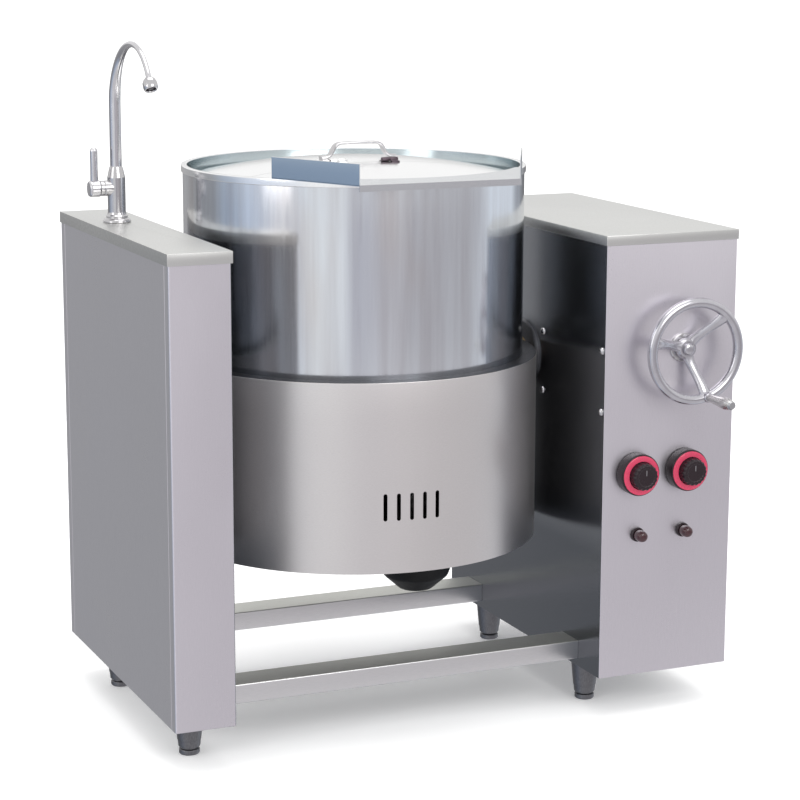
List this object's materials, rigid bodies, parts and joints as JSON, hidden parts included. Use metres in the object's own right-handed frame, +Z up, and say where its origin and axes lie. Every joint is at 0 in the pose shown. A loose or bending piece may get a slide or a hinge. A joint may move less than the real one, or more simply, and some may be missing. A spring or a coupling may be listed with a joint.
{
  "type": "steam jacketed kettle",
  "caption": "Tilting jacketed kettle hung on trunnions between two sheet-steel pedestals, with a worm-gear handwheel, pouring lip, split lid and gooseneck faucet.",
  "frame": {"origin": "on the floor, under the centre of the overall box", "axes": "+X towards the control pedestal, +Y from the operator's side to the back, +Z up"},
  "size_m": [1.0727, 0.824, 1.2125],
  "materials": {
    "satin_sheet": "satin brushed stainless sheet",
    "bright_sheet": "fine brushed stainless sheet",
    "polished_drum": "polished stainless sheet",
    "plain_steel": "plain machined steel",
    "foot_metal": "dark satin steel",
    "cast_housing": "cast, dull",
    "bronze": "machined bronze",
    "gear_steel": "ground steel",
    "chrome": "polished chrome",
    "grip_metal": "satin cast grip",
    "knob_plastic": "black moulded plastic",
    "ring_red": "printed red ring",
    "switch_plastic": "dark moulded plastic",
    "lamp_bezel": "black plastic collar",
    "lamp_lens": "dark red lens",
    "black_cover": "black enamel",
    "mineral_wool": "pressed wool",
    "tail_brass": "turned brass"
  },
  "bodies": {
    "base": {"left_shell": "satin_sheet", "left_cap": "bright_sheet", "left_back_panel": "satin_sheet", "left_base_tray": "plain_steel", "right_shell": "satin_sheet", "right_cap": "bright_sheet", "right_base_tray": "plain_steel", "control_panel": "satin_sheet", "front_rail": "satin_sheet", "rear_rail": "satin_sheet", "foot_sleeves": "foot_metal", "foot_pads": "foot_metal", "bearing_posts": "plain_steel", "left_bearing": "cast_housing", "right_bearing": "cast_housing", "trunnion_bushes": "bronze", "gear_bracket": "plain_steel", "worm_bearings": "cast_housing", "bracket_bolts": "chrome", "shaft_flange": "chrome", "switch_bodies": "switch_plastic", "lamp_bezels": "lamp_bezel", "lamp_lenses": "lamp_lens", "cable_gland": "switch_plastic", "faucet_body": "chrome", "faucet_tail": "tail_brass"},
    "kettle": {"left_trunnion": "plain_steel", "right_trunnion": "plain_steel", "shaft_collars": "plain_steel", "worm_wheel": "bronze", "pan_dish": "bright_sheet", "pan_wall": "bright_sheet", "pan_rim": "bright_sheet", "jacket_shell": "plain_steel", "insulation": "mineral_wool", "upper_casing": "polished_drum", "lower_skirt": "satin_sheet", "bottom_plate": "satin_sheet", "element_flange": "plain_steel", "heating_elements": "plain_steel", "terminal_cover": "black_cover", "safety_valve": "plain_steel", "pouring_lip": "bright_sheet"},
    "drive": {"worm": "gear_steel", "worm_shaft": "plain_steel", "handwheel": "chrome", "handwheel_nut": "chrome", "grip_spindle": "plain_steel"},
    "crank_grip": {"grip": "grip_metal"},
    "lid": {"lid_main": "bright_sheet", "lid_handle": "chrome", "lid_hinge_leaves": "chrome", "lid_hinge_pins": "chrome"},
    "flap": {"lid_flap": "bright_sheet", "flap_hinge_leaves": "chrome"},
    "left_dial": {"left_knob": "knob_plastic", "left_knob_ring": "ring_red"},
    "right_dial": {"right_knob": "knob_plastic", "right_knob_ring": "ring_red"},
    "spout": {"faucet_spout": "chrome", "spout_nozzle": "chrome"},
    "lever": {"faucet_lever": "chrome"}
  },
  "joints": [
    {"name": "kettle_tilt", "type": "hinge", "parent": "base", "child": "kettle", "pos_m": [-0.0775, 0.045, 0.623], "axis": [1, 0, 0], "range_deg": [0, 90]},
    {"name": "handwheel_spin", "type": "hinge", "parent": "base", "child": "drive", "pos_m": [0.4245, -0.275, 0.673], "axis": [0, 1, 0], "range_deg": [0, 2340]},
    {"name": "grip_spin", "type": "hinge", "parent": "drive", "child": "crank_grip", "pos_m": [0.44848, -0.375, 0.58937], "axis": [0, 1, 0], "continuous": true},
    {"name": "lid_lift", "type": "slide", "parent": "kettle", "child": "lid", "axis": [0, 0, 1], "range_m": [0, 0.085]},
    {"name": "flap_hinge", "type": "hinge", "parent": "lid", "child": "flap", "pos_m": [-0.0775, -0.03, 1.00364], "axis": [-1, 0, 0], "range_deg": [0, 110]},
    {"name": "left_dial_turn", "type": "hinge", "parent": "base", "child": "left_dial", "pos_m": [0.3335, -0.295, 0.451], "axis": [0, 1, 0], "range_deg": [0, 270]},
    {"name": "right_dial_turn", "type": "hinge", "parent": "base", "child": "right_dial", "pos_m": [0.4335, -0.295, 0.451], "axis": [0, 1, 0], "range_deg": [0, 180]},
    {"name": "spout_swivel", "type": "hinge", "parent": "base", "child": "spout", "pos_m": [-0.483, 0.171, 0.97], "axis": [0, 0, 1], "range_deg": [-90, 100]},
    {"name": "faucet_lever_turn", "type": "hinge", "parent": "base", "child": "lever", "pos_m": [-0.526, 0.171, 0.95], "axis": [1, 0, 0], "range_deg": [0, 90]}
  ],
  "couplings": [
    {"joint": "handwheel_spin", "follows": "kettle_tilt", "ratio": 26}
  ]
}
